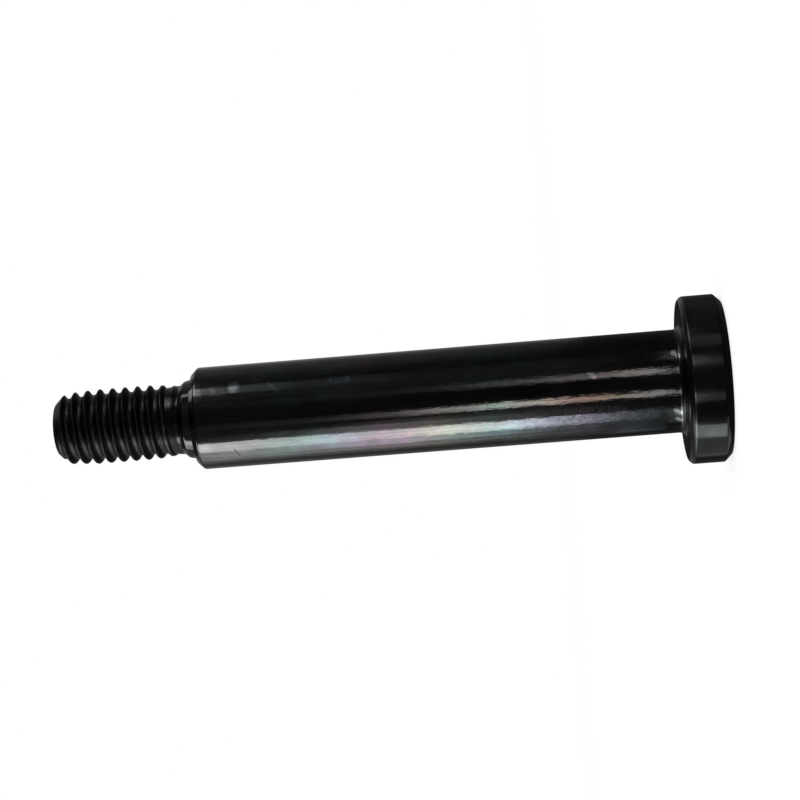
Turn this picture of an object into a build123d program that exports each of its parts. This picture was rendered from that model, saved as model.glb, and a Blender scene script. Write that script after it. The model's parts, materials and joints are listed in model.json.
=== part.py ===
from build123d import *
from math import ceil, radians, tan
import os

# Shoulder bolt with a low cylindrical head: one piece, turned from bar, with a rolled thread.
# It stands on its head. The origin is the centre of the head's outer face, and +Z runs along
# the axis to the threaded end. Lengths are in millimetres and angles in degrees.

# Head: a plain disc, with a hexagon socket in its outer face
head_diameter = 13.0
head_height = 3.3
head_outer_chamfer = 0.55
head_under_chamfer = 0.3
socket_across_flats = 4.0
socket_depth = 2.0
socket_drill_diameter = 3.8
socket_drill_point_angle = 118.0
socket_mouth_angle = 120.0
socket_mouth_margin = 0.1

# Ground shoulder, the bearing surface for what turns or slides on the bolt
shoulder_diameter = 8.0
shoulder_length = 38.0
shoulder_root_fillet = 0.5
shoulder_end_chamfer = 0.45

# Radius that breaks the line where a chamfer meets the head's side or the shoulder
edge_softening = 0.25

# Tapered collar against the shoulder's end face, then the neck that the thread runs out on.
# Both offsets are counted from the shoulder's end face.
collar_base_diameter = 6.32
collar_end_diameter = 6.02
collar_end_offset = 0.68
neck_diameter = 5.38
neck_start_offset = 1.06
neck_length = 0.2

# M6 x 1 right-hand thread, in the middle of tolerance class 6g
thread_pitch = 1.0
thread_major_diameter = 5.88
thread_minor_diameter = 4.70
thread_flank_angle = 30.0
thread_root_flat = 0.19
thread_runout_length = 1.9
thread_section_length = 11.0
tip_chamfer = 0.9

# How far a cutting or joining shape passes the surface that it meets
groove_overshoot = 0.08
trim_overshoot = 0.2

head_radius = head_diameter / 2
shoulder_radius = shoulder_diameter / 2
neck_radius = neck_diameter / 2
crest_radius = thread_major_diameter / 2
root_radius = thread_minor_diameter / 2
shoulder_end = head_height + shoulder_length
tip = shoulder_end + thread_section_length
runout_start = shoulder_end + neck_start_offset + neck_length
runout_end = runout_start + thread_runout_length


def turned(*corners):
    """A solid of revolution about the axis, from its corners as (radius, height, rounding)."""
    bottom = corners[0][1]
    top = corners[-1][1]
    points = [(radius, 0, height) for radius, height, rounding in corners]
    roundings = [rounding for radius, height, rounding in corners]
    outline = FilletPolyline((0, 0, bottom), *points, (0, 0, top), radius=roundings)
    axis_line = Line((0, 0, top), (0, 0, bottom))
    return revolve(make_face(outline + axis_line), Axis.Z)


def turned_body():
    """Head, shoulder, collar and neck, then a plug that narrows inside the thread's core.

    The plug fills the bottom of the groove more and more towards the neck, which is how the
    thread runs out.
    """
    return turned(
        (head_radius - head_outer_chamfer, 0, 0),
        (head_radius, head_outer_chamfer, edge_softening),
        (head_radius, head_height - head_under_chamfer, 0),
        (head_radius - head_under_chamfer, head_height, 0),
        (shoulder_radius, head_height, shoulder_root_fillet),
        (shoulder_radius, shoulder_end - shoulder_end_chamfer, edge_softening),
        (shoulder_radius - shoulder_end_chamfer, shoulder_end, 0),
        (collar_base_diameter / 2, shoulder_end, 0),
        (collar_end_diameter / 2, shoulder_end + collar_end_offset, 0),
        (neck_radius, shoulder_end + neck_start_offset, 0),
        (neck_radius, runout_start, 0),
        (root_radius - trim_overshoot, runout_end, 0),
    )


def thread_groove():
    """The thread's groove: its section follows the right-hand helix, past both ends."""
    length = thread_pitch * (ceil(thread_section_length / thread_pitch) + 1)
    mouth_radius = crest_radius + groove_overshoot
    half_root = thread_root_flat / 2
    half_mouth = half_root + (mouth_radius - root_radius) * tan(radians(thread_flank_angle))
    section = Polyline(
        (root_radius, 0, half_root),
        (root_radius, 0, -half_root),
        (mouth_radius, 0, -half_mouth),
        (mouth_radius, 0, half_mouth),
        close=True,
    )
    guide = Helix(thread_pitch, length, crest_radius)
    groove = sweep(make_face(section), path=Line((0, 0, 0), (0, 0, length)), binormal=guide.edge())
    return Pos(0, 0, shoulder_end) * groove


def rolled_thread():
    """A rod with the groove cut in it, trimmed to the chamfered tip and the run-out's cone."""
    rod_start = shoulder_end - 2 * thread_pitch
    rod_length = tip + 4 * thread_pitch - rod_start
    rod = Pos(0, 0, rod_start + rod_length / 2) * Cylinder(crest_radius, rod_length)
    slope = (crest_radius - neck_radius) / thread_runout_length
    clear_radius = crest_radius + trim_overshoot
    envelope = turned(
        (neck_radius - trim_overshoot * slope, runout_start - trim_overshoot, 0),
        (clear_radius, runout_end + trim_overshoot / slope, 0),
        (clear_radius, tip - tip_chamfer - trim_overshoot, 0),
        (crest_radius - tip_chamfer, tip, 0),
    )
    return (rod - thread_groove()) & envelope


def socket():
    """The hexagon socket, with a drill point at its bottom and a countersunk mouth."""
    flats = RegularPolygon(socket_across_flats / 2, 6, major_radius=False)
    drill_radius = socket_drill_diameter / 2
    mouth_radius = socket_across_flats / 3**0.5 + socket_mouth_margin
    drill_point = cone(drill_radius, socket_drill_point_angle)
    mouth = cone(mouth_radius, socket_mouth_angle)
    return extrude(flats, socket_depth) + Pos(0, 0, socket_depth) * drill_point + mouth


def cone(radius, point_angle):
    """A pointed cone that stands on the XY plane."""
    height = radius / tan(radians(point_angle / 2))
    return Cone(radius, 0, height, align=(Align.CENTER, Align.CENTER, Align.MIN))


bolt = turned_body() + rolled_thread() - socket()

os.makedirs("parts", exist_ok=True)
export_step(bolt, "parts/shoulder_bolt.step")
print("volume", round(bolt.volume, 1), "mm3, valid", bolt.is_valid, "solids", len(bolt.solids()))
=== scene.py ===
import bpy
import json
from functools import partial
from math import ceil, cos, pi, radians, sin, tan
from mathutils import Euler, Matrix, Vector


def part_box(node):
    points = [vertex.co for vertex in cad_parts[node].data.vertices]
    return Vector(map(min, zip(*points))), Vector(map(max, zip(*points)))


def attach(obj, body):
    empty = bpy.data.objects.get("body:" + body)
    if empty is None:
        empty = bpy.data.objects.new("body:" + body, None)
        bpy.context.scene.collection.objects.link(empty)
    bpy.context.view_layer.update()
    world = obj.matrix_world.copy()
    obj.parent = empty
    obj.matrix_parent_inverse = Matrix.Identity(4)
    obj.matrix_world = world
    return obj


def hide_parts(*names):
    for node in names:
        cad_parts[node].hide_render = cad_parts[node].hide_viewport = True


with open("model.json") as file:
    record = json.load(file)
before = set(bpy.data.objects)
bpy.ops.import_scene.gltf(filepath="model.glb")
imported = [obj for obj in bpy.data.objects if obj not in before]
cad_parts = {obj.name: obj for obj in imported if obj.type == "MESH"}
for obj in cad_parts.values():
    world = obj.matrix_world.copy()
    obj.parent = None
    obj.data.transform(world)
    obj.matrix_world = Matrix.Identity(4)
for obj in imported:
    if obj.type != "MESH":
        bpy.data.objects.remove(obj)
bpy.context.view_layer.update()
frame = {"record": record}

# The shoulder bolt: one piece of alloy steel. The head, shoulder and neck are turned from bar,
# the shoulder is ground to size, and the thread is rolled, so its crests and roots are rounded.
# The black is an oxide grown on the steel in a hot salt bath and sealed with a thin oil.
mm = 0.001
mounts = {mount["name"]: mount for mount in frame["record"]["mounts"]}
lowest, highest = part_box("shoulder_bolt")

head_radius = min(-lowest.x, highest.x, -lowest.y, highest.y)
head_top = mounts["head_underside"]["pos_m"][2]
head_face_chamfer = 0.55 * mm
head_under_chamfer = 0.3 * mm
shoulder_radius = mounts["shoulder"]["dims"]["r_mm"] * mm
shoulder_end = mounts["shoulder_end"]["pos_m"][2]
shoulder_root_fillet = 0.5 * mm
shoulder_end_chamfer = 0.45 * mm
collar_base_radius = 3.16 * mm
collar_end_radius = 3.01 * mm
collar_end = shoulder_end + 0.68 * mm
neck_radius = 2.69 * mm
neck_start = shoulder_end + 1.06 * mm
neck_end = neck_start + 0.2 * mm
tip = highest.z

socket_flats = 4.0 * mm
socket_depth = 2.0 * mm
socket_drill_radius = 1.9 * mm
socket_drill_half_angle = radians(59)
socket_mouth_half_angle = radians(60)
socket_mouth_radius = socket_flats / 3**0.5 + 0.1 * mm

turned_segments = 240
arc_steps = 7
arc_margin = 0.02 * mm


def rounded(corners):
    """The outline through corners of (radius, height, rounding), with an arc at each rounding.

    A point just outside each end of an arc keeps the shading of the straight parts straight.
    """
    points = []
    for index, (radius, height, rounding) in enumerate(corners):
        corner = Vector((radius, height))
        if rounding == 0:
            points.append(corner)
            continue
        to_last = (Vector(corners[index - 1][:2]) - corner).normalized()
        to_next = (Vector(corners[index + 1][:2]) - corner).normalized()
        half_angle = to_last.angle(to_next) / 2
        centre = corner + (to_last + to_next).normalized() * (rounding / sin(half_angle))
        reach = rounding / tan(half_angle)
        arc_start = corner + to_last * reach - centre
        arc_end = corner + to_next * reach - centre
        points.append(corner + to_last * (reach + arc_margin))
        for step in range(arc_steps + 1):
            outward = arc_start.lerp(arc_end, step / arc_steps).normalized()
            points.append(centre + outward * rounding)
        points.append(corner + to_next * (reach + arc_margin))
    return points


def socket_wall(angle):
    """Distance from the axis to the hexagon socket's wall, in a direction round the axis."""
    return socket_flats / 2 / cos(angle % (pi / 3) - pi / 6)


def mouth_depth(radius):
    """How deep the socket's countersunk mouth is at a radius."""
    return (socket_mouth_radius - radius) / tan(socket_mouth_half_angle)


body_outline = rounded([
    (socket_mouth_radius, 0, 0),
    (head_radius - head_face_chamfer, 0, 0.12 * mm),
    (head_radius, head_face_chamfer, 0.25 * mm),
    (head_radius, head_top - head_under_chamfer, 0.35 * mm),
    (head_radius - head_under_chamfer, head_top, 0.35 * mm),
    (shoulder_radius, head_top, shoulder_root_fillet),
    (shoulder_radius, shoulder_end - shoulder_end_chamfer, 0.25 * mm),
    (shoulder_radius - shoulder_end_chamfer, shoulder_end, 0.1 * mm),
    (collar_base_radius, shoulder_end, 0.08 * mm),
    (collar_end_radius, collar_end, 0.25 * mm),
    (neck_radius, neck_start, 0.12 * mm),
    (neck_radius, neck_end, 0),
])

angles = [2 * pi * segment / turned_segments for segment in range(turned_segments)]
rings = [
    [(socket_drill_radius, socket_depth)] * turned_segments,
    [(socket_wall(angle), socket_depth) for angle in angles],
    [(socket_wall(angle), mouth_depth(socket_wall(angle))) for angle in angles],
]
rings += [[tuple(point)] * turned_segments for point in body_outline]
drill_point = socket_depth + socket_drill_radius / tan(socket_drill_half_angle)
points = [(0, 0, drill_point)]
faces = [(0, 1 + segment, 1 + (segment + 1) % turned_segments) for segment in range(turned_segments)]
for ring in rings:
    points += [(r * cos(a), r * sin(a), z) for a, (r, z) in zip(angles, ring)]
for row in range(len(rings) - 1):
    this_ring = 1 + row * turned_segments
    next_ring = this_ring + turned_segments
    for segment in range(turned_segments):
        after = (segment + 1) % turned_segments
        faces.append((this_ring + segment, this_ring + after, next_ring + after, next_ring + segment))
turned_mesh = bpy.data.meshes.new("turned_blank")
turned_mesh.from_pydata(points, [], faces)
bolt = bpy.data.objects.new("black_oxide_bolt", turned_mesh)
bpy.context.scene.collection.objects.link(bolt)


def add_node(tree, kind, inputs=(), **settings):
    """A node with its settings, and its inputs given as values or as sockets to link from."""
    node = tree.nodes.new(kind)
    for name, value in settings.items():
        setattr(node, name, value)
    for name, value in dict(inputs).items():
        if isinstance(value, bpy.types.NodeSocket):
            tree.links.new(value, node.inputs[name])
        else:
            node.inputs[name].default_value = value
    return node


def calculate(tree, operation, *values):
    """The result of a Math node."""
    return add_node(tree, "ShaderNodeMath", enumerate(values), operation=operation).outputs[0]


def empty_material(name):
    """A new material and its empty node tree."""
    material = bpy.data.materials.new(name)
    material.use_nodes = True
    material.node_tree.nodes.clear()
    return material, material.node_tree


def graded(tree, position, levels):
    """A level that follows a position in straight lines, through pairs of (position, level)."""
    result = levels[0][1]
    for (low, low_level), (high, high_level) in zip(levels, levels[1:]):
        step = add_node(tree, "ShaderNodeMapRange", {
            "Value": position,
            "From Min": low,
            "From Max": high,
            "To Max": high_level - low_level,
        }).outputs[0]
        result = calculate(tree, "ADD", result, step)
    return result


# The rolled thread is a sheet wrapped round the neck. Its columns run along the bolt and its rows
# climb one pitch a turn, so the crests and roots follow the helix. The section is a triangle wave
# between crest and root, and the envelope thins it at the run-out and at the chamfered tip.
thread_pitch = 1.0 * mm
thread_flank_angle = radians(30)
samples_per_pitch = 28
weld_distance = 0.0005 * mm
thread_sizes = {
    "Start": neck_end,
    "Tip": tip,
    "Pitch": thread_pitch,
    "Phase": shoulder_end + thread_pitch / 2,
    "Crest radius": 2.94 * mm,
    "Root radius": 2.52 * mm,
    "Crest flat": 0.13 * mm,
    "Crest rounding": 0.2 * mm,
    "Root rounding": 0.4 * mm,
    "Neck radius": neck_radius,
    "Run-out": 1.9 * mm,
    "Tip chamfer": 0.9 * mm,
    "Lead length": 3.0 * mm,
    "Lead drop": 0.2 * mm,
    "Columns": turned_segments,
    "Rows": samples_per_pitch * (ceil((tip - neck_end) / thread_pitch) + 1),
}


def thread_tree():
    """The nodes that make the thread from its sizes and join it to the turned blank."""
    tree = bpy.data.node_groups.new("rolled_thread", "GeometryNodeTree")
    math = partial(calculate, tree)
    tree.interface.new_socket("Geometry", in_out="INPUT", socket_type="NodeSocketGeometry")
    for name, value in thread_sizes.items():
        kind = "NodeSocketInt" if isinstance(value, int) else "NodeSocketFloat"
        tree.interface.new_socket(name, in_out="INPUT", socket_type=kind)
    tree.interface.new_socket("Finish", in_out="INPUT", socket_type="NodeSocketMaterial")
    tree.interface.new_socket("Geometry", in_out="OUTPUT", socket_type="NodeSocketGeometry")
    given = tree.nodes.new("NodeGroupInput").outputs

    # the flat sheet: turn goes once round the bolt, and along goes from the neck to the tip
    sheet = add_node(tree, "GeometryNodeMeshGrid", {
        "Size X": 1.0,
        "Size Y": 1.0,
        "Vertices X": math("ADD", given["Columns"], 1),
        "Vertices Y": math("ADD", given["Rows"], 1),
    })
    place = tree.nodes.new("GeometryNodeInputPosition").outputs[0]
    place = add_node(tree, "ShaderNodeSeparateXYZ", {0: place}).outputs
    turn = math("ADD", place["X"], 0.5)
    along = math("ADD", place["Y"], 0.5)

    # height of a point, and its distance from the nearest crest, in metres
    length = math("SUBTRACT", given["Tip"], given["Start"])
    pitches = math("ADD", math("CEIL", math("DIVIDE", length, given["Pitch"])), 1.0)
    climbed = math("MULTIPLY", math("ADD", math("MULTIPLY", along, pitches), turn), given["Pitch"])
    first = math("SUBTRACT", given["Start"], given["Pitch"])
    height = math("ADD", climbed, first)
    height = math("MINIMUM", math("MAXIMUM", height, given["Start"]), given["Tip"])
    crest = math("ADD", given["Phase"], math("MULTIPLY", turn, given["Pitch"]))
    from_crest = math("PINGPONG", math("SUBTRACT", height, crest), math("DIVIDE", given["Pitch"], 2.0))

    # section: crest, 60 degree flanks and root, with the rolled roundings
    down_flank = math("SUBTRACT", from_crest, math("DIVIDE", given["Crest flat"], 2.0))
    depth = math("DIVIDE", down_flank, tan(thread_flank_angle))
    flank = math("SUBTRACT", given["Crest radius"], depth)
    section = math("SMOOTH_MIN", flank, given["Crest radius"], given["Crest rounding"])
    section = math("SMOOTH_MAX", section, given["Root radius"], given["Root rounding"])

    # envelope: the groove fills up towards the neck, and the crests fall to the neck and the tip.
    # The lead lowers the first turns from the tip, as the rolls leave them
    past_start = math("DIVIDE", math("SUBTRACT", height, given["Start"]), given["Run-out"])
    rise = math("SUBTRACT", given["Crest radius"], given["Neck radius"])
    fall = math("SUBTRACT", given["Neck radius"], given["Root radius"])
    fill = math("SUBTRACT", given["Neck radius"], math("MULTIPLY", past_start, fall))
    runout = math("ADD", given["Neck radius"], math("MULTIPLY", past_start, rise))
    tip_radius = math("SUBTRACT", given["Crest radius"], given["Tip chamfer"])
    chamfer = math("ADD", tip_radius, math("SUBTRACT", given["Tip"], height))
    from_tip = math("DIVIDE", math("SUBTRACT", given["Tip"], height), given["Lead length"])
    lead = math("MULTIPLY", math("SUBTRACT", 1.0, math("MINIMUM", from_tip, 1.0)), given["Lead drop"])
    radius = math("SMOOTH_MIN", math("SUBTRACT", section, lead), runout, given["Crest rounding"])
    radius = math("MINIMUM", math("MAXIMUM", radius, fill), chamfer)

    # the sheet wrapped round the axis, closed by the flat end and welded to the neck
    angle = math("MULTIPLY", turn, 2 * pi)
    wrapped = add_node(tree, "ShaderNodeCombineXYZ", {
        "X": math("MULTIPLY", radius, math("COSINE", angle)),
        "Y": math("MULTIPLY", radius, math("SINE", angle)),
        "Z": height,
    }).outputs[0]
    thread = add_node(tree, "GeometryNodeSetPosition", {
        "Geometry": sheet.outputs["Mesh"],
        "Position": wrapped,
    }).outputs[0]
    end = add_node(tree, "GeometryNodeMeshCircle", {
        "Vertices": given["Columns"],
        "Radius": tip_radius,
    }, fill_type="TRIANGLE_FAN").outputs[0]
    end_place = add_node(tree, "ShaderNodeCombineXYZ", {"Z": given["Tip"]}).outputs[0]
    end = add_node(tree, "GeometryNodeTransform", {"Geometry": end, "Translation": end_place})
    joined = tree.nodes.new("GeometryNodeJoinGeometry")
    for part in (given["Geometry"], thread, end.outputs[0]):
        tree.links.new(part, joined.inputs[0])
    merged = add_node(tree, "GeometryNodeMergeByDistance", {
        "Geometry": joined.outputs[0],
        "Distance": weld_distance,
    }).outputs[0]
    real = add_node(tree, "GeometryNodeRealizeInstances", {"Geometry": merged}).outputs[0]
    finished = add_node(tree, "GeometryNodeSetMaterial", {
        "Geometry": real,
        "Material": given["Finish"],
    }).outputs[0]
    add_node(tree, "NodeGroupOutput", {"Geometry": finished})
    return tree


# The finish: grinding lines climb this far a radian round the shoulder, and the oil film's faint
# colours repeat along it, redder, greener and bluer at heights of their own.
grinding_rise = 4 * mm
film_repeat = 16 * mm
film_peaks = (26 * mm, 18 * mm, 30 * mm)
relief_depth = 0.016 * mm
sharp_angle = radians(32)

# Scratches on the shoulder, and painted highlights: lighter spots along its light bands, partly
# rubbed oxide, and last the glints at its foot. Each is (direction from the camera's side in
# degrees, height, length, width, slant in degrees, share of the tone).
scratches_and_painted_highlights = [
    (-44.5, 37.9 * mm, 0.8 * mm, 0.10 * mm, 21, 0.4),
    (33.5, 37.7 * mm, 0.25 * mm, 0.65 * mm, 0, 5.0),
    (31.0, 39.3 * mm, 0.2 * mm, 0.40 * mm, 0, 1.6),
    (31.0, 40.6 * mm, 1.0 * mm, 0.60 * mm, 0, 2.3),
    (28.8, 34.6 * mm, 1.3 * mm, 0.10 * mm, 44, 2.2),
    (44.5, 36.1 * mm, 1.0 * mm, 0.10 * mm, 38, 1.8),
    (33.5, 30.2 * mm, 0.5 * mm, 0.14 * mm, 20, 1.9),
    (33.5, 28.9 * mm, 0.3 * mm, 0.25 * mm, 0, 2.0),
    (13.5, 10.3 * mm, 0.6 * mm, 0.30 * mm, 40, 2.3),
    (30.5, 3.92 * mm, 0.45 * mm, 0.36 * mm, 50, 6.0),
    (-35.0, 4.05 * mm, 0.45 * mm, 0.28 * mm, 50, 5.0),
    (-46.5, 3.95 * mm, 0.35 * mm, 0.28 * mm, 50, 5.0),
]


def direction(tree, place):
    """The direction of a place round the bolt, in degrees from the camera's side towards +X."""
    towards_camera = calculate(tree, "MULTIPLY", place["Y"], -1.0)
    return calculate(tree, "DEGREES", calculate(tree, "ARCTAN2", place["X"], towards_camera))


def marked(tree, place, turn, centre, length, width, slant, share):
    """The share at a mark on the shoulder, and 1 elsewhere.

    The mark lies across the bolt, and its slant turns the end on the +X side towards the tip.
    """
    place = add_node(tree, "ShaderNodeSeparateXYZ", {0: place}).outputs
    across = calculate(tree, "SUBTRACT", direction(tree, place), turn)
    across = calculate(tree, "MULTIPLY", across, radians(1) * shoulder_radius)
    along = calculate(tree, "SUBTRACT", place["Z"], centre)
    turned = []
    for row in Matrix.Rotation(-radians(slant), 2):
        part = calculate(tree, "MULTIPLY", across, row[0])
        turned.append(calculate(tree, "ADD", part, calculate(tree, "MULTIPLY", along, row[1])))
    past_end = calculate(tree, "SUBTRACT", calculate(tree, "ABSOLUTE", turned[0]), length / 2)
    past_end = calculate(tree, "MAXIMUM", past_end, 0.0)
    away = add_node(tree, "ShaderNodeCombineXYZ", {0: past_end, 1: turned[1]}).outputs[0]
    away = add_node(tree, "ShaderNodeVectorMath", {0: away}, operation="LENGTH").outputs["Value"]
    return graded(tree, away, [(width * 0.2, share), (width * 0.8, 1.0)])


def black_oxide():
    """Oiled black oxide: smooth on the ground shoulder, duller on the head and the thread."""
    material, tree = empty_material("oiled_black_oxide")
    math = partial(calculate, tree)

    def noise(source, across, along, detail=3.0):
        """Noise with cells of this size across and along the bolt."""
        scale = (1 / across, 1 / across, 1 / along)
        stretched = add_node(tree, "ShaderNodeMapping", {"Vector": source, "Scale": scale})
        return add_node(tree, "ShaderNodeTexNoise", {
            "Vector": stretched.outputs[0],
            "Scale": 1.0,
            "Detail": detail,
            "Roughness": 0.6,
        }).outputs["Fac"]

    place = tree.nodes.new("ShaderNodeTexCoord").outputs["Object"]
    height = add_node(tree, "ShaderNodeSeparateXYZ", {0: place}).outputs["Z"]
    twist = math("MULTIPLY", height, -1 / grinding_rise)
    twisted = add_node(tree, "ShaderNodeVectorRotate", {
        "Vector": place,
        "Angle": twist,
    }, rotation_type="Z_AXIS").outputs[0]
    drawn = noise(place, 0.25 * mm, 12 * mm)
    ground = noise(twisted, 0.22 * mm, 1.0 * mm)
    dimples = noise(place, 0.4 * mm, 1.5 * mm)
    pits = noise(place, 0.3 * mm, 0.4 * mm)
    patches = noise(place, 1.8 * mm, 3.0 * mm)
    clouds = noise(place, 2.5 * mm, 4 * mm, 5.0)

    # how dark the oxide is: drawn and ground streaks, patches and scratches, painted highlights at
    # the lighter spots, and painted shade under the head and along the neck and the thread
    level = math("ADD", math("MULTIPLY", drawn, 0.5), math("MULTIPLY", ground, 0.15))
    level = math("ADD", level, math("MULTIPLY", clouds, 0.35))
    tone = graded(tree, level, [(0.3, 0.032), (0.7, 0.070)])
    tone = math("MULTIPLY", tone, graded(tree, patches, [(0.35, 0.88), (0.5, 1.0), (0.65, 1.2)]))
    # the scratches, and the highlights painted into the tone at the lighter spots and the foot glints
    for mark in scratches_and_painted_highlights:
        tone = math("MULTIPLY", tone, marked(tree, place, *mark))
    # painted shade: darker in the corner under the head, and from the collar's end on along the neck
    # and the thread
    tone = math("MULTIPLY", tone, graded(tree, height, [
        (head_top - 0.5 * mm, 1.0),
        (head_top - 0.25 * mm, 0.5),
        (head_top + 0.35 * mm, 0.45),
        (head_top + 0.5 * mm, 1.0),
        (collar_end, 1.0),
        (neck_end, 0.45),
    ]))

    # the faint colours of the oil film
    drift = math("MULTIPLY", math("SUBTRACT", clouds, 0.5), 5.0)
    fading = graded(tree, height, [
        (head_top, 0.01),
        (head_top + 6 * mm, 0.03),
        (head_top + 12 * mm, 0.08),
        (shoulder_end - 7 * mm, 0.08),
        (shoulder_end - 3 * mm, 0.01),
    ])
    fading = math("MULTIPLY", fading, graded(tree, patches, [(0.4, 0.4), (0.65, 2.2)]))
    colours = []
    for peak in film_peaks:
        turns = math("DIVIDE", math("SUBTRACT", height, peak), film_repeat)
        wave = math("COSINE", math("ADD", math("MULTIPLY", turns, 2 * pi), drift))
        colours.append(math("MULTIPLY", tone, math("ADD", math("MULTIPLY", wave, fading), 1.0)))
    tint = add_node(tree, "ShaderNodeCombineColor", enumerate(colours)).outputs[0]

    # how dull it is, and its relief
    finish = graded(tree, height, [
        (head_top - 0.5 * mm, 0.14),
        (head_top - 0.25 * mm, 0.28),
        (head_top + 0.3 * mm, 0.28),
        (head_top + 0.5 * mm, 0.10),
        (neck_start, 0.12),
        (neck_end, 0.2),
        (neck_end + 1.5 * mm, 0.38),
    ])
    roughness = math("ADD", finish, math("MULTIPLY", math("SUBTRACT", clouds, 0.5), 0.12))
    relief = math("ADD", math("MULTIPLY", ground, 0.07), math("MULTIPLY", drawn, 0.25))
    relief = math("ADD", relief, math("MULTIPLY", dimples, 0.9))
    relief = math("ADD", relief, math("MULTIPLY", pits, 0.25))
    relief = math("MULTIPLY", relief, graded(tree, height, [
        (head_top, 0.3),
        (head_top + 0.5 * mm, 1.0),
        (head_top + 16 * mm, 1.0),
        (head_top + 26 * mm, 0.55),
        (collar_end, 0.55),
        (neck_end, 0.2),
    ]))
    bump = add_node(tree, "ShaderNodeBump", {
        "Height": relief,
        "Strength": 1.0,
        "Distance": relief_depth,
    })
    surface = add_node(tree, "ShaderNodeBsdfPrincipled", {
        "Base Color": tint,
        "Metallic": 1.0,
        "Roughness": roughness,
        "Normal": bump.outputs[0],
    })
    add_node(tree, "ShaderNodeOutputMaterial", {"Surface": surface.outputs[0]})
    return material


oxide = black_oxide()
roll = bolt.modifiers.new("rolled_thread", "NODES")
roll.node_group = thread_tree()
for item in roll.node_group.interface.items_tree:
    if item.item_type == "SOCKET" and item.in_out == "INPUT" and item.name in thread_sizes:
        roll[item.identifier] = thread_sizes[item.name]
    if item.item_type == "SOCKET" and item.name == "Finish":
        roll[item.identifier] = oxide
scene_graph = bpy.context.evaluated_depsgraph_get()
bolt_mesh = bpy.data.meshes.new_from_object(bolt.evaluated_get(scene_graph))
bolt.modifiers.clear()
bolt.data = bolt_mesh
bolt_mesh.shade_smooth()
bolt_mesh.set_sharp_from_angle(angle=sharp_angle)
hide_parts("shoulder_bolt")
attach(bolt, "root")

# The floor: a plain white sheet that the bolt stands on with the flat of its head. It shows the
# bolt's soft shadow, and to the camera and in reflections it is as white as the wall behind. It is
# clear from below, so that the head's face can be seen.
floor_reach = 1.2
floor_level = -0.02 * mm
floor_shadow_share = 0.25
floor_light = 0.8


def seen_directly(tree):
    """1 for what the camera sees, also in a reflection or through glass, and 0 for other light."""
    ray = tree.nodes.new("ShaderNodeLightPath").outputs
    seen = calculate(tree, "MAXIMUM", ray["Is Camera Ray"], ray["Is Glossy Ray"])
    return calculate(tree, "MAXIMUM", seen, ray["Is Transmission Ray"])


def white_ground():
    """White with a share of the shadow where it is seen, and a plain pale sheet to other light.

    The glow adds what a sheet as dark as that share, lit at floor_light, lacks to full white.
    """
    material, tree = empty_material("white_sheet")
    seen = seen_directly(tree)
    plain = add_node(tree, "ShaderNodeBsdfDiffuse", {"Color": (0.8, 0.8, 0.8, 1)}).outputs[0]
    shaded = add_node(tree, "ShaderNodeBsdfDiffuse", {"Color": (floor_shadow_share,) * 3 + (1,)})
    glow = add_node(tree, "ShaderNodeEmission", {"Strength": 1 - floor_shadow_share * floor_light})
    white = tree.nodes.new("ShaderNodeAddShader")
    tree.links.new(shaded.outputs[0], white.inputs[0])
    tree.links.new(glow.outputs[0], white.inputs[1])
    mixed = tree.nodes.new("ShaderNodeMixShader")
    tree.links.new(seen, mixed.inputs[0])
    tree.links.new(plain, mixed.inputs[1])
    tree.links.new(white.outputs[0], mixed.inputs[2])
    sides = tree.nodes.new("ShaderNodeMixShader")
    tree.links.new(tree.nodes.new("ShaderNodeNewGeometry").outputs["Backfacing"], sides.inputs[0])
    tree.links.new(mixed.outputs[0], sides.inputs[1])
    tree.links.new(tree.nodes.new("ShaderNodeBsdfTransparent").outputs[0], sides.inputs[2])
    add_node(tree, "ShaderNodeOutputMaterial", {"Surface": sides.outputs[0]})
    return material


def flat_panel(name, corners, material):
    """A single face through its corners."""
    mesh = bpy.data.meshes.new(name)
    mesh.from_pydata(corners, [], [tuple(range(len(corners)))])
    mesh.materials.append(material)
    panel = bpy.data.objects.new(name, mesh)
    bpy.context.scene.collection.objects.link(panel)
    return panel


def flat_sheet(name, reach, level, material):
    """A level square that faces up and reaches this far to each side of the bolt."""
    signs = ((-1, -1), (1, -1), (1, 1), (-1, 1))
    return flat_panel(name, [(reach * x, reach * y, level) for x, y in signs], material)


flat_sheet("floor", floor_reach, floor_level, white_ground())

# The wall and ceiling: an even white room. It lights the set at room_light, and where it is seen
# it is fully white.
room_light = 0.75
world = bpy.data.worlds.new("white_room")
world.use_nodes = True
bpy.context.scene.world = world
room = world.node_tree
room.nodes.clear()
room_rest = calculate(room, "MULTIPLY", seen_directly(room), 1 - room_light)
background = add_node(room, "ShaderNodeBackground", {
    "Color": (1, 1, 1, 1),
    "Strength": calculate(room, "ADD", room_light, room_rest),
})
add_node(room, "ShaderNodeOutputWorld", {"Surface": background.outputs[0]})

# The black cloth round the set: only reflections see it. It is near black on the camera's side
# and grey behind the bolt, which is what makes dark polished steel look dark in a white room.
tent_radius = 0.45
tent_height = 0.6
tent_sides = 64


def reflection_only(thing):
    """Hides a stage piece from everything but reflections."""
    thing.visible_camera = False
    thing.visible_diffuse = False
    thing.visible_transmission = False
    thing.visible_volume_scatter = False
    thing.visible_shadow = False


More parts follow.
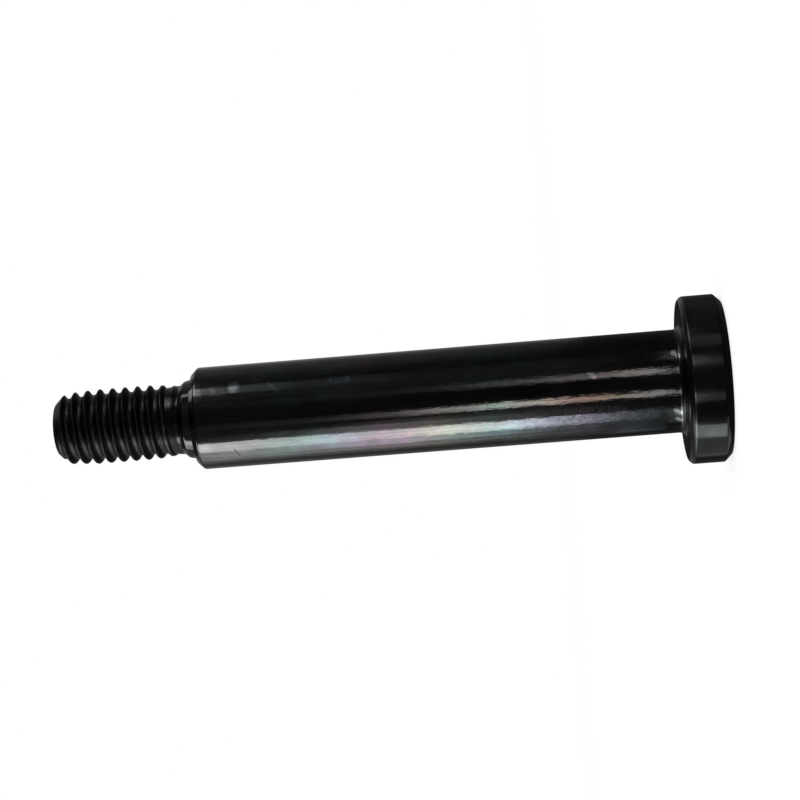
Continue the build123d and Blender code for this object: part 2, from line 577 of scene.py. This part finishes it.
def dark_cloth():
    """Cloth whose grey depends on the direction round the bolt, from the camera's side."""
    material, tree = empty_material("dark_cloth")
    place = tree.nodes.new("ShaderNodeTexCoord").outputs["Object"]
    place = add_node(tree, "ShaderNodeSeparateXYZ", {0: place}).outputs
    round_bolt = graded(tree, direction(tree, place), [
        (-174, 0.03), (-168, 0.2), (-160, 0.26), (-144, 0.17), (-124, 0.3), (-104, 0.2), (-80, 0.09),
        (-60, 0.08), (-48, 0.13), (-36, 0.12), (-12, 0.06), (12, 0.06), (36, 0.12), (48, 0.15),
        (60, 0.08), (80, 0.09), (104, 0.20), (112, 0.25), (144, 0.25), (160, 0.38), (168, 0.25),
        (174, 0.03),
    ])
    upwards = graded(tree, place["Z"], [
        (0, 0.55), (0.05, 0.75), (0.12, 1.0), (0.36, 1.2), (0.42, 0.3),
    ])
    grey = calculate(tree, "MULTIPLY", round_bolt, upwards)
    glow = add_node(tree, "ShaderNodeEmission", {"Strength": grey})
    add_node(tree, "ShaderNodeOutputMaterial", {"Surface": glow.outputs[0]})
    return material


tent_points = []
for side in range(tent_sides):
    tent_angle = 2 * pi * side / tent_sides
    for height in (0, tent_height):
        tent_points.append((tent_radius * cos(tent_angle), tent_radius * sin(tent_angle), height))
tent_faces = [
    (2 * side, 2 * side + 1, (2 * side + 3) % (2 * tent_sides), (2 * side + 2) % (2 * tent_sides))
    for side in range(tent_sides)
]
tent_faces.append(tuple(range(1, 2 * tent_sides, 2)))
tent_mesh = bpy.data.meshes.new("tent")
tent_mesh.from_pydata(tent_points, [], tent_faces)
tent_mesh.materials.append(dark_cloth())
tent = bpy.data.objects.new("tent", tent_mesh)
bpy.context.scene.collection.objects.link(tent)
reflection_only(tent)

# The black paper under the bolt: reflections see it in place of the white floor.
paper = bpy.data.materials.new("black_paper")
paper.use_nodes = True
paper_surface = paper.node_tree.nodes["Principled BSDF"]
paper_surface.inputs["Base Color"].default_value = (0.002, 0.002, 0.002, 1)
paper_surface.inputs["Roughness"].default_value = 0.12
paper_surface.inputs["IOR"].default_value = 1.0
paper_surface.inputs["Emission Color"].default_value = (1, 1, 1, 1)
paper_surface.inputs["Emission Strength"].default_value = 0.05
paper_reach = 0.99 * tent_radius
paper_lift = 0.02 * mm
reflection_only(flat_sheet("paper_sheet", paper_reach, paper_lift, paper))


def lamp_glow(name, levels, warmth):
    """Light that changes with height, through pairs of (height, strength), from the lowest up.

    warmth, in pairs of (height, share), is how much red is added and blue is taken away.
    """
    material, tree = empty_material(name)
    place = tree.nodes.new("ShaderNodeTexCoord").outputs["Object"]
    height = add_node(tree, "ShaderNodeSeparateXYZ", {0: place}).outputs["Z"]
    strength = graded(tree, height, levels)
    warm = graded(tree, height, warmth)
    colour = add_node(tree, "ShaderNodeCombineColor", {
        "Red": calculate(tree, "ADD", 1.0, warm),
        "Green": 1.0,
        "Blue": calculate(tree, "SUBTRACT", 1.0, warm),
    }).outputs[0]
    glow = add_node(tree, "ShaderNodeEmission", {"Color": colour, "Strength": strength})
    add_node(tree, "ShaderNodeOutputMaterial", {"Surface": glow.outputs[0]})
    return material


def strip_lamp(name, turn, spread, distance, levels, warmth=((0, 0),)):
    """An upright panel of light, as tall as its levels reach.

    turn is its direction round the bolt from the camera's side, and spread the angle that it
    fills, both in degrees, counted towards +X.
    """
    corners = []
    low, high = levels[0][0], levels[-1][0]
    for side, height in ((-0.5, low), (0.5, low), (0.5, high), (-0.5, high)):
        angle = radians(turn + side * spread)
        corners.append((distance * sin(angle), -distance * cos(angle), height))
    reflection_only(flat_panel(name, corners, lamp_glow(name, levels, warmth)))


# The strip lamps: each makes one light band along the bolt. The lamps called low and front light
# the bands on the -X side, and those called high and top the ones on the +X side. The raised ones
# stand above them and light the collar.
far = 0.25
near = 0.10
lamp_top = 0.4
strip_lamp("low_lamp", -72, 24, far, [
    (0, 1.6), (0.009, 5.2), (0.018, 11.2), (0.036, 11.2), (0.06, 6.8), (0.085, 9.8), (0.095, 9.8),
    (0.101, 1.2), (0.106, 0.5), (0.14, 0.5),
], [(0, -0.15), (0.012, -0.12), (0.02, -0.01), (0.12, -0.02), (0.14, 0)])
strip_lamp("low_lamp_shade", -92.5, 17, far, [
    (0, 0.5), (0.009, 1.0), (0.02, 2.6), (0.041, 5.7), (0.063, 4.1), (0.082, 3.4), (0.095, 0.85),
    (0.14, 0.85),
], [(0, -0.12), (0.02, -0.1), (0.05, -0.05), (0.14, 0)])
strip_lamp("low_lamp_edge", -107.5, 13, far, [
    (0, 0.4), (0.02, 1.2), (0.04, 2.3), (0.082, 2.3), (0.095, 0.8), (0.14, 0.8),
])
strip_lamp("low_lamp_fade", -119, 10, far, [(0, 0.3), (0.02, 0.5), (0.04, 0.8), (0.14, 0.8)])
strip_lamp("raised_lamp", -79.5, 14, far, [(0.15, 6.5), (lamp_top, 6.5)])
strip_lamp("raised_lamp_shade", -95, 17, far, [(0.15, 3.6), (lamp_top, 3.6)])
strip_lamp("raised_lamp_edge", -109, 11, far, [(0.16, 2), (lamp_top, 2)])
strip_lamp("low_lamp_spill", -52, 16, far, [
    (0, 0.35), (0.009, 0.45), (0.02, 0.9), (0.041, 1.6), (0.052, 1.5), (0.06, 0.7), (0.07, 0.35),
    (0.08, 0.15), (0.14, 0.05),
])
strip_lamp("low_lamp_spill_edge", -40, 8, far, [
    (0, 0.1), (0.02, 0.35), (0.03, 0.5), (0.041, 0.5), (0.052, 0.3), (0.06, 0.05),
])
strip_lamp("front_lamp", -23.3, 11, near, [
    (0, 5.0), (0.0055, 2.9), (0.010, 3.9), (0.018, 5.8), (0.0244, 4.2), (0.031, 1.2), (0.0378, 0.45),
    (0.0445, 0.25), (0.07, 0.05),
], [(0, 0.03), (0.004, 0.16), (0.006, 0.27), (0.011, 0.27), (0.015, 0.14), (0.02, 0.04), (0.04, -0.02)])
strip_lamp("high_lamp", 25, 11.5, near, [
    (0, 4.5), (0.0055, 1.9), (0.011, 1.3), (0.0177, 0.8), (0.0244, 0.35), (0.031, 0.15), (0.07, 0.08),
], [(0, 0.0), (0.006, 0.1), (0.01, 0.02), (0.02, -0.02)])
strip_lamp("top_lamp", 61, 18, far, [
    (0.041, 0.15), (0.052, 0.25), (0.063, 0.2), (0.0734, 0.5), (0.0815, 1.1), (0.092, 2.2),
    (0.104, 1.4), (0.114, 10), (0.14, 10),
], [(0, -0.07), (0.08, -0.07), (0.1, 0)])
strip_lamp("top_lamp_edge", 78, 16, far, [(0.092, 1.2), (0.104, 0.8), (0.114, 4), (0.14, 4)])
strip_lamp("top_lamp_raised", 81, 8, far, [(0.16, 3.8), (lamp_top, 3.8)])
strip_lamp("top_lamp_foot", 52, 40, far, [(0, 0.13), (0.04, 0.1)])

# The ceiling lamp lies level over the back and gives the chamfered edges their glint.
reflection_only(flat_panel("ceiling_lamp", [
    (away * sin(radians(turn)), -away * cos(radians(turn)), lamp_top)
    for turn, away in ((136, 0.17), (136, 0.29), (146, 0.29), (146, 0.17))
], lamp_glow("ceiling_lamp", [(0, 2.2)], [(0, -0.03)])))

# The cards that lie round the head: they carry the light bands on down the shoulder's foot and the
# head's side. Each is placed by the part of that side that shows it, in degrees from the camera's
# side towards +X.
card_lift = 0.04 * mm


def foot_card(name, radius, first, last, inner, outer, strength, warmth=-0.03):
    """A strip of light on the floor, from inner to outer in metres from the side that shows it."""
    corners = []
    for turn, away in ((first, inner), (first, outer), (last, outer), (last, inner)):
        x = radius * sin(radians(turn)) + away * sin(radians(2 * turn))
        y = -radius * cos(radians(turn)) - away * cos(radians(2 * turn))
        corners.append((x, y, card_lift))
    reflection_only(flat_panel(name, corners, lamp_glow(name, [(0, strength)], [(0, warmth)])))


foot_card("low_card", head_radius, -43, -32.5, 3 * mm, 45 * mm, 2.2)
foot_card("low_card_shade", head_radius, -66, -43, 3 * mm, 45 * mm, 0.45)
foot_card("low_card_edge", head_radius, -66, -28, 0.2 * mm, 3 * mm, 0.5)
foot_card("front_card", head_radius, -15, -10, 3 * mm, 45 * mm, 0.28)
foot_card("high_card", head_radius, 9.5, 14.5, 3 * mm, 45 * mm, 0.24)
foot_card("top_card", head_radius, 23, 31, 3 * mm, 45 * mm, 0.3)
foot_card("top_card_edge", head_radius, 34, 66, 3 * mm, 45 * mm, 0.1)
foot_card("front_runner", shoulder_radius, -14.3, -9.3, 57 * mm, 96 * mm, 3.5)
foot_card("high_runner", shoulder_radius, 9.5, 15.5, 60 * mm, 96 * mm, 2.4)
foot_card("low_runner", shoulder_radius, -42, -30, 140 * mm, 247 * mm, 1.2, -0.13)
foot_card("low_runner_shade", shoulder_radius, -66, -42, 140 * mm, 247 * mm, 0.5, -0.13)
foot_card("low_runner_foot", shoulder_radius, -42, -30, 85 * mm, 140 * mm, 0.5, -0.13)
foot_card("low_runner_foot_shade", shoulder_radius, -66, -42, 85 * mm, 140 * mm, 0.3, -0.13)
foot_card("high_glint_card", shoulder_radius, 25, 36, 46 * mm, 58 * mm, 1.3)
foot_card("low_glint_card", shoulder_radius, -51, -31, 46 * mm, 60 * mm, 1.3)

# The soft key light overhead, for the floor's shadow.
key = bpy.data.lights.new("key_light", "AREA")
key.shape = "DISK"
key.size = 0.5
key.energy = 1.2
key_light = bpy.data.objects.new("key_light", key)
key_light.location = (0.15, -0.25, 0.6)
key_light.rotation_euler = (-key_light.location).to_track_quat("-Z", "Y").to_euler()
key_light.visible_glossy = False
bpy.context.scene.collection.objects.link(key_light)

# The camera: it looks at the standing bolt from beside the shoulder's lower half and is rolled on
# its side, so that the bolt lies across the picture with its head to the right.
camera_place = Vector((0.22, -150.93, 14.82)) * mm
camera_rise = 3.94
camera_roll = 4.51
camera_lens = 87.2
view = bpy.data.cameras.new("camera")
view.sensor_width = 36
view.lens = camera_lens
view.clip_start = 0.01
camera = bpy.data.objects.new("camera", view)
looking = Euler((radians(90 + camera_rise), 0, 0)).to_matrix()
rolled = Matrix.Rotation(-radians(90 + camera_roll), 3, "Z")
camera.matrix_world = Matrix.Translation(camera_place) @ (looking @ rolled).to_4x4()
bpy.context.scene.collection.objects.link(camera)
bpy.context.scene.camera = camera
bpy.context.scene.view_settings.view_transform = "Standard"
